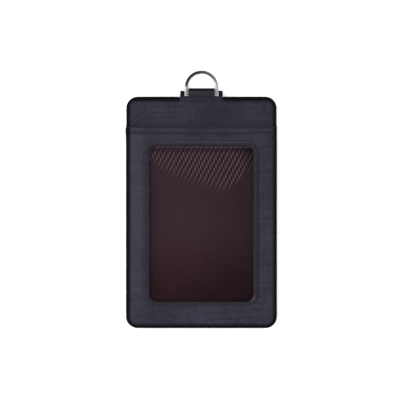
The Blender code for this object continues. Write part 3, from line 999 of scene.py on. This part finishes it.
def seam_thread():
    look = Look("seam_thread", **MATT)
    fibre = look.noise(YARN_SIZE, look.stretched(y=3.0, z=3.0), detail=3.0)
    look.dye(fibre, THREAD_DARK, THREAD_PALE)
    look.roughen(fibre, low=0.6, high=0.8)
    look.bump(fibre, YARN_DEPTH)
    return look.material


# The body's sheets


def rim_crease(x, y):
    return -RIM_DEPTH * dent(body_depth(x, y) - RIM_INSET, CREASE_REACH)


def edge_drop(x, y):
    """How far the rolled edge of a whole sheet has dropped."""
    return EDGE_DROP * roll_drop(body_depth(x, y) - BODY_RIGHT + SHEET_RIGHT, EDGE_ROLL)


def back_relief(x, y):
    """The back faces down, so its creases and rolled edge rise."""
    return edge_drop(x, y) - rim_crease(x, y)


def header_relief(x, y):
    """The header has a rim crease above the pocket, and is plain where the pocket hides it."""
    crown = ease((body_depth(x, y) - RIM_INSET) / CROWN_REACH) * ease((y - MOUTH_Y) / CROWN_REACH)
    shown = 1.0 if y > MOUTH_Y - RIM_INSET else 0.0
    crease = shown * rim_crease(x, y)
    return crease - edge_drop(x, y) + shown * crown * (FACE_CROWN + ripple(x, y))


def seam_relief(x, y):
    """The trough that the seam pulls into the hem, deeper at each needle hole."""
    hole = abs(math.cos(math.pi * x / STITCH_PITCH)) ** HOLE_POWER
    trough = dent(MOUTH_Y - SEAM_DROP - y, SEAM_REACH)
    return -SEAM_DEPTH * trough * (1 - HOLE_SHARE + HOLE_SHARE * hole)


def panel_relief(x, y):
    """Height of the pocket's face over its plain level."""
    window = window_distance(x, y)
    if window < WINDOW_ROLL:
        full = PANEL_FACE - PANEL_BASE + BORDER_CREST
        return BORDER_CREST - full * roll_drop(window, WINDOW_ROLL)
    rim = min(body_depth(x, y), MOUTH_Y - y + RIM_INSET)
    edge = min(body_depth(x, y) - BODY_RIGHT + SHEET_RIGHT, PANEL_TOP - y)
    height = -EDGE_DROP * roll_drop(edge, EDGE_ROLL)
    height -= RIM_DEPTH * dent(rim - RIM_INSET, CREASE_REACH) * ease((SHEET_TOP + y) / EDGE_ROLL)
    border = -depth_inside(x, y, BORDER_EDGE)
    height -= BORDER_DEPTH * dent(border, BORDER_CREASE_REACH)
    height += BORDER_CREST * ease(border / (WINDOW_ROLL - BORDER_END))
    field = min(rim - RIM_INSET, border)
    height += ease(field / CROWN_REACH) * (FACE_CROWN + ripple(x, y))
    return height + seam_relief(x, y)


def film_relief(x, y):
    """The film swells a little in the window and has slow waves there."""
    inside = ease(-window_distance(x, y) / (WINDOW_CORNER_RADIUS * 2))
    waves = wave(x, y, across=0.9, up=0.35, length=FILM_RIPPLE_LENGTH)
    waves *= wave(x, y, across=-0.2, up=0.7, length=FILM_RIPPLE_LENGTH, shift=FILM_RIPPLE_SHIFT)
    return inside * (FILM_BULGE + FILM_RIPPLE * waves)


def make_front_panel(skin):
    insets = (0.0, EDGE_ROLL, MARGIN_INSET)
    outlines = [sheet_outline(inset, PANEL_TOP, SHEET_CORNER_RADIUS) for inset in insets]
    border = oblong(*grown(BORDER_EDGE, CREASE_REACH * 2))
    crest = oblong(*grown(WINDOW_EDGE, WINDOW_ROLL))
    window = oblong(*WINDOW_EDGE)
    rows = edge_rows(*outlines)
    rows += between_rings(outlines[-1], border, even_shares(FIELD_ROWS, first=1))
    rows += between_rings(border, crest, even_shares(BORDER_ROWS, first=1))
    steep = [1 - share for share in reversed(roll_shares(WINDOW_ROLL_STEPS))]
    rows += between_rings(crest, window, steep[1:-1])
    rings = [at_level(window, PANEL_BASE), at_level(outlines[0], PANEL_BASE)]
    rings += [raised(row, PANEL_FACE, panel_relief) for row in rows]
    loft_piece("front_panel_skin", rings, skin, "front_panel", closed=True)


def make_lining(cloth):
    outer = sheet_outline(0.0, PANEL_TOP, SHEET_CORNER_RADIUS)
    inner = oblong(*grown(WINDOW_EDGE, LINING_SETBACK))
    rings = [at_level(outer, LINING_BASE), at_level(outer, LINING_FACE)]
    rings += [at_level(inner, LINING_FACE), at_level(inner, LINING_BASE)]
    loft_piece("lining_cloth", rings, cloth, "front_lining", closed=True)


def u_line(right, bottom, radius):
    """From the mouth down the left side, round the foot, and up the right side."""
    foot = arc(radius - right, bottom + radius, radius, 180, 270)
    foot += [(-x, y) for x, y in reversed(foot)]
    return [(-right, MOUTH_Y), *foot, (right, MOUTH_Y)]


def make_welt(cloth):
    """The U-shaped filler strip round the card."""
    outer = u_line(SHEET_RIGHT, -SHEET_TOP, SHEET_RADIUS)
    gap = CARD_EDGE_GAP
    inner = u_line(CARD_RIGHT + gap, CARD_BOTTOM - gap, CARD_CORNER_RADIUS + gap)
    rings = []
    for out, into in zip(outer, inner):
        rings.append([(*out, WELT_BASE), (*out, WELT_FACE), (*into, WELT_FACE), (*into, WELT_BASE)])
    loft_piece("pocket_welt_strip", rings, cloth, "pocket_welt")


# Painted edges


def paint_profile(low, high, top_round=PAINT_TOP_ROUND, foot_round=PAINT_FOOT_ROUND):
    """A painted edge's section from its inner top over the wall to its inner foot, as shares
    of the paint's width and levels."""
    points = []
    for share, _ in arc(0.0, 0.0, 1.0, 90, 0, PAINT_ROUND_STEPS):
        points.append((1 - share, high - top_round * (1 - math.sqrt(1 - share**2))))
    for share in even_shares(PAINT_WALL_STEPS, first=1)[:-1]:
        level = high - top_round + (low + foot_round - high + top_round) * share
        waist = dent(level - HEADER_FACE, PAINT_WAIST_REACH)
        points.append((PAINT_WAIST_SHARE * waist, level))
    for share, _ in arc(0.0, 0.0, 1.0, 0, -90, PAINT_ROUND_STEPS):
        points.append((1 - share, low + foot_round * (1 - math.sqrt(1 - share**2))))
    return points


def paint_ripple(x, y):
    """Share of the paint's width by which its face sinks in, here and there."""
    turn = math.tau / PAINT_RIPPLE_LENGTH
    drift = math.cos(turn * (x - y) * PAINT_RIPPLE_DRIFT)
    return PAINT_RIPPLE_SHARE * (1 + math.sin(turn * (x + y)) * drift) / 2


def paint_swell(x, y):
    """Share of the paint's width by which it stands out, to the left of the pocket's mouth."""
    below = MOUTH_Y - y
    if x > 0 or below < 0:
        return 0.0
    return PAINT_SWELL_SHARE * ease(below / MOUTH_FALL) * ease(1 - below / PAINT_SWELL_REACH)


def rim_level(y):
    """The paint is lower beside the header than beside the pocket."""
    return HEADER_FACE + (PANEL_FACE - HEADER_FACE) * ease((MOUTH_Y - y) / MOUTH_FALL + 1)


def rim_shares():
    """Stations up the body's side, closer together where the pocket's mouth is."""
    low = BODY_CORNER_RADIUS - BODY_TOP
    high = BODY_TOP - BODY_CORNER_RADIUS
    mouth = (MOUTH_Y - low) / (high - low)
    reach = MOUTH_FINE_REACH / (high - low)
    even = [share for share in ALONG_SHARES if abs(share - mouth) > reach]
    fine = [mouth + reach * (2 * share - 1) for share in even_shares(MOUTH_FINE_STEPS)]
    return sorted(even + fine)


def tab_recess(x, y):
    """1 across the tab's width on the body's top edge, and 0 elsewhere."""
    if y < BODY_TOP - BODY_CORNER_RADIUS:
        return 0.0
    return ease((TAB_RIGHT + TAB_RECESS_FALL - abs(x)) / TAB_RECESS_FALL)


def make_rim_paint(paint):
    stations = rim_shares()
    outer = oblong(*BODY_EDGE, along=stations)
    inner = oblong(*grown(BODY_EDGE, -COATING_WIDTH), along=stations)
    columns = []
    for out, into in zip(outer, inner):
        column = []
        for share, level in paint_profile(COVER_FACE, rim_level(out[1])):
            above_tab = ease((level - COVER_BASE) / TAB_THICKNESS)
            recess = tab_recess(*out) * above_tab * TAB_RECESS / COATING_WIDTH
            sunk = max(share, paint_ripple(*out) * (1 - share) + share, recess)
            column.append((*mix(out, into, sunk - paint_swell(*out) * (1 - share)), level))
        columns.append(column)
    loft_piece("rim_paint", list(zip(*columns)), paint, "edge_coating", closed=True)


def make_mouth_paint(paint):
    profile = paint_profile(LINING_BASE, PANEL_FACE, EDGE_DROP, EDGE_DROP)
    rings = []
    for share in even_shares(ACROSS_STEPS):
        x = SHEET_RIGHT * (2 * share - 1)
        ring = []
        for sunk, level in profile:
            inset = MOUTH_COATING_WIDTH * max(sunk, paint_ripple(x, MOUTH_Y) * 2)
            ring.append((x, MOUTH_Y - inset, level))
        rings.append(ring)
    loft_piece("mouth_paint", rings, paint, "mouth_coating")


# The seam


def make_seam(thread):
    """One row of stitches below the mouth, each end sunk in its needle hole."""
    work = bmesh.new()
    count = int(2 * (SHEET_RIGHT - RIM_INSET) / STITCH_PITCH)
    seam_y = MOUTH_Y - SEAM_DROP
    for stitch in range(count):
        middle = (stitch - (count - 1) / 2) * STITCH_PITCH
        rings = []
        for row in even_shares(THREAD_ROWS):
            x = middle + STITCH_LENGTH * (row - 0.5)
            arched = math.sin(math.pi * row) ** THREAD_ARCH_POWER
            level = PANEL_FACE - SEAM_DEPTH - THREAD_SINK + (THREAD_SINK + THREAD_RADIUS) * arched
            ring = []
            for side in range(THREAD_SIDES):
                angle = math.tau * side / THREAD_SIDES
                twist = math.cos(THREAD_PLIES * angle - math.tau * THREAD_TURNS * row)
                radius = THREAD_RADIUS * (1 + THREAD_LOBE_SHARE * twist)
                y = seam_y + radius * math.cos(angle)
                ring.append((x, y, level + radius * math.sin(angle)))
            rings.append(ring)
        add_loft(work, rings, capped=True)
    new_piece("mouth_stitches", work, thread)


# The ring and its tab


def ring_path():
    """The wire's centre line, from one side of the seam in the bar round to the other."""
    bend_x = RING_HALF_WIDTH - RING_BEND_RADIUS
    path = [(RING_SEAM / 2, 0.0)]
    path += arc(bend_x, RING_BEND_RADIUS, RING_BEND_RADIUS, 270, 360, BEND_STEPS)
    path += arc(0.0, RING_LEG_LENGTH, RING_HALF_WIDTH, 0, 180, ARC_STEPS)
    path += arc(-bend_x, RING_BEND_RADIUS, RING_BEND_RADIUS, 180, 270, BEND_STEPS)
    path += [(-RING_SEAM / 2, 0.0)]
    return [Vector((x, y, 0.0)) for x, y in path]


def make_ring(chrome):
    path = ring_path()
    lean = Matrix.Rotation(-RING_TILT, 3, "X")
    rings = []
    for index, centre in enumerate(path):
        before = path[max(index - 1, 0)]
        after = path[min(index + 1, len(path) - 1)]
        heading = (after - before).normalized()
        outward = Vector((heading.y, -heading.x, 0.0))
        ring = []
        for side in range(WIRE_SIDES):
            angle = math.tau * side / WIRE_SIDES
            around = outward * math.cos(angle) + Vector((0.0, 0.0, math.sin(angle)))
            ring.append(BAR + lean @ (centre + around * WIRE_RADIUS))
        rings.append(ring)
    loft_piece("ring_wire", rings, chrome, "d_ring", body="ring")


def loop_profile(floor, leg_level):
    """The strap's middle line from the front leg over the bar to the back leg, as (y, z)."""
    radius = WIRE_RADIUS + BAR_GAP + TAB_THICKNESS / 2
    reach = math.hypot(floor, leg_level)
    slope = math.degrees(math.asin(radius / reach) - math.atan2(leg_level, -floor))
    front = arc(0.0, 0.0, radius, 90 + slope, 90, BEND_STEPS)
    crown = arc(LOOP_SLACK, 0.0, radius, 90, -90, FOLD_STEPS)
    back = arc(0.0, 0.0, radius, -90, -90 - slope, BEND_STEPS)
    return [(floor, leg_level), *front, *crown, *back, (floor, -leg_level)]


def lobe_profile(floor, leg_level):
    """The flat fold beside the ring's legs, as (y, z)."""
    middle = TAB_LOBE_RISE - BAR_RISE - leg_level - TAB_THICKNESS / 2
    crown = arc(middle, 0.0, leg_level, 90, -90, FOLD_STEPS)
    return [(floor, leg_level), *crown, (floor, -leg_level)]


def add_strip(work, left, right, profile):
    add_grid(work, [[(x, BAR.y + y, BAR.z + z) for x in (left, right)] for y, z in profile])


def make_strap(skin):
    """One strap folded over the ring's bar, with a notch at each leg of the ring."""
    floor = TAB_FLOOR_RISE - BAR_RISE
    root = TAB_ROOT - BAR.y
    leg_level = (TAB_LEG_GAP + TAB_THICKNESS) / 2
    columns = (-TAB_RIGHT, -LOBE_LEFT, -LOOP_RIGHT, LOOP_RIGHT, LOBE_LEFT, TAB_RIGHT)
    work = bmesh.new()
    for left, right in zip(columns, columns[1:]):
        for level in (leg_level, -leg_level):
            add_strip(work, left, right, [(root, level), (floor, level)])
    add_strip(work, -LOOP_RIGHT, LOOP_RIGHT, loop_profile(floor, leg_level))
    for left, right in ((-TAB_RIGHT, -LOBE_LEFT), (LOBE_LEFT, TAB_RIGHT)):
        add_strip(work, left, right, lobe_profile(floor, leg_level))
    piece = new_piece("ring_strap", work, skin, "ring_tab")
    wall = piece.modifiers.new("wall", "SOLIDIFY")
    wall.thickness = TAB_THICKNESS
    wall.offset = 0.0
    wall.use_even_offset = True
    rounding = piece.modifiers.new("rounding", "BEVEL")
    rounding.width = TAB_ROUNDING
    rounding.segments = TAB_ROUNDING_STEPS
    rounding.limit_method = "ANGLE"
    rounding.angle_limit = TAB_ROUNDING_ANGLE


# The studio


def make_key_light():
    """One square softbox at the left, which faces the part."""
    light = bpy.data.lights.new("key_light", "AREA")
    light.size = KEY_WIDTH
    light.energy = KEY_POWER
    lamp = add_object("key_light", light)
    lamp.location = KEY_PLACE
    lamp.rotation_euler = (-Vector(KEY_PLACE)).to_track_quat("-Z", "Y").to_euler()


def make_floor():
    glow = {"Emission_Color": FLOOR_PALE, "Emission_Strength": FLOOR_GLOW}
    look = Look("pale_floor", Specular_IOR_Level=0.2, **glow)
    grain = look.noise(FLOOR_GRAIN_SIZE)
    look.dye(grain, FLOOR_PALE, FLOOR_PALER)
    look.roughen(grain, low=0.75, high=0.85)
    reach = FLOOR_HALF_WIDTH
    work = bmesh.new()
    add_grid(work, [[(x, y, -TABLE_GAP) for x in (-reach, reach)] for y in (-reach, reach)])
    add_mesh("floor", work, look.material)


def make_world():
    """White walls, a ring of softboxes over them, dark above the camera, and a glow at the left."""
    world = bpy.data.worlds.new("studio")
    world.use_nodes = True
    sky = NodeSheet(world.node_tree, "Generated")
    ceiling = sky.rise(sky.z, *CEILING_EDGES)
    x, y, z = Vector(GLOW_FROM).normalized()
    glow = sky.rise(sky.x * x + sky.y * y + sky.z * z, GLOW_START, 1.0)
    colour = sky.blend(sky.rise(sky.z, *SOFTBOX_EDGES), WALL_WHITE, SOFTBOX_WHITE)
    colour = sky.blend(glow, colour, GLOW_WHITE)
    colour = sky.blend(ceiling, colour, CEILING_GREY)
    background = world.node_tree.nodes["Background"]
    sky.tree.links.new(colour.socket, background.inputs["Color"])
    bpy.context.scene.world = world


def make_camera():
    data = bpy.data.cameras.new("camera")
    data.sensor_width = SENSOR_MILLIMETRES
    distance = CAMERA_PLACE[2] - HEADER_FACE
    data.lens = SENSOR_MILLIMETRES * distance / (PIXEL_SIZE * IMAGE_PIXELS)
    camera = add_object("camera", data)
    camera.location = CAMERA_PLACE
    bpy.context.scene.camera = camera


def dress_solids():
    """The solids that stay get a finish of their own."""
    for node, material in (("insert_card", maroon_card()), ("back_board", board_fibre())):
        mesh = frame["nodes"][node].data
        mesh.materials.clear()
        mesh.materials.append(material)


def main():
    make_floor()
    make_world()
    make_camera()
    make_key_light()
    bpy.context.scene.view_settings.view_transform = "Standard"
    # Painted light and shade on the pocket; the border's mark also darkens its tone
    pocket_marks = (
        (panel_painted_light, NAVY_HIGHLIGHT, 1.0),
        (panel_border, BORDER_GREY, 0.85),
        (right_groove, NAVY_GROOVE, 0.8),
        (top_crest, NAVY_PAINTED_LIGHT, 0.5),
        (seam_trough_shade, NAVY_GROOVE, 0.7),
        (corner_glint, GLINT_GREY, 1.0),
    )
    # Painted shade and painted light on the header
    header_marks = (
        (tab_crease_shade, NAVY_GROOVE, 0.8),
        (header_shade, NAVY_GROOVE, 0.52),
        (mouth_painted_light, NAVY_PAINTED_LIGHT, 0.55),
    )
    pocket_skin = navy_fabric("pocket_fabric", panel_rim_depth, *pocket_marks)
    lining = lining_weave()
    back = navy_fabric("back_fabric", Look.body_depth)
    header = navy_fabric("header_fabric", header_rim_depth, *header_marks)
    whole = (SHEET_TOP, SHEET_RADIUS)
    pocket = (PANEL_TOP, SHEET_CORNER_RADIUS)
    full_sheet("back_cover_skin", "back_cover", back, "skin", back_relief, *whole, faces_up=False)
    full_sheet("header_skin", "header_panel", header, "skin", header_relief, *whole)
    make_welt(lining)
    make_lining(lining)
    full_sheet("film_sheet", "window_film", clear_film(), "film", film_relief, *pocket)
    make_front_panel(pocket_skin)
    make_rim_paint(edge_paint("rim_edge_paint", EDGE_BLACK, EDGE_GREY))
    make_mouth_paint(edge_paint("mouth_edge_paint", NAVY_GROOVE, NAVY))
    make_seam(seam_thread())
    make_ring(chrome_wire())
    make_strap(strap_fabric())
    dress_solids()


main()
